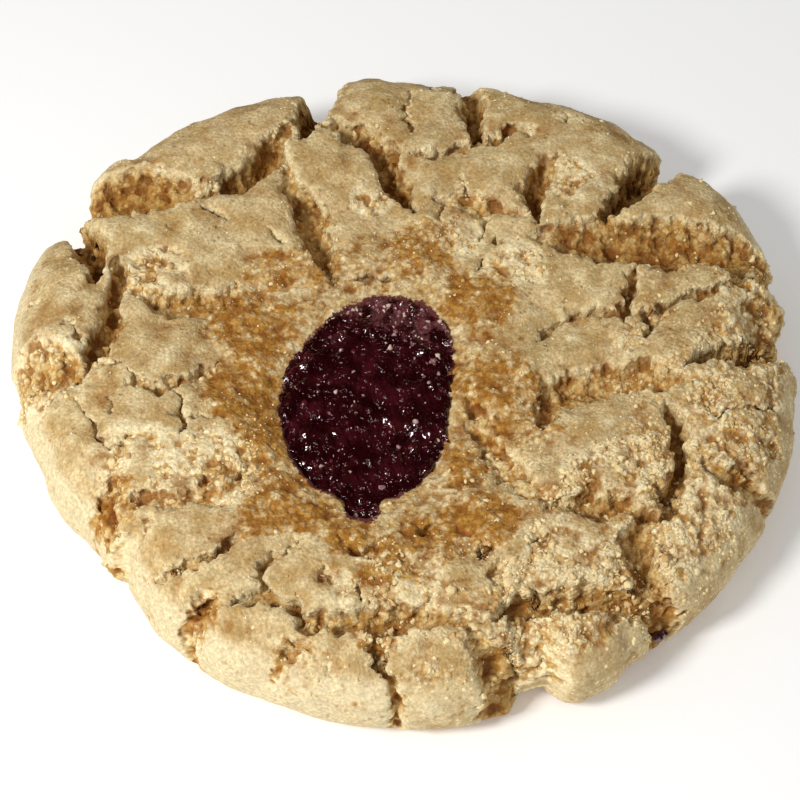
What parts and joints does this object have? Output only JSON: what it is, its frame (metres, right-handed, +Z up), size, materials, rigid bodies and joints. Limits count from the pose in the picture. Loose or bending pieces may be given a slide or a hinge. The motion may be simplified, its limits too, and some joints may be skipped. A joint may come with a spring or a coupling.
{
  "type": "strawberry jam cookie",
  "caption": "Round baked cookie with a deeply cracked crust, an uneven notched rim, a flat base and an oval pool of strawberry jam set in a well near its middle.",
  "frame": {"origin": "middle of the flat base that the cookie rests on", "axes": "+Z up, the shortest way through the cookie; +X to the right and +Y away from the side nearest the viewer, where the jam lies towards -Y"},
  "size_m": [0.1025, 0.103, 0.0152],
  "materials": {
    "baked_crust": "dry matt baked dough, pale golden, toasted round the jam",
    "strawberry_jam": "wet dark red jam"
  },
  "bodies": {
    "root": {"cookie": "baked_crust", "jam": "strawberry_jam"}
  },
  "joints": []
}
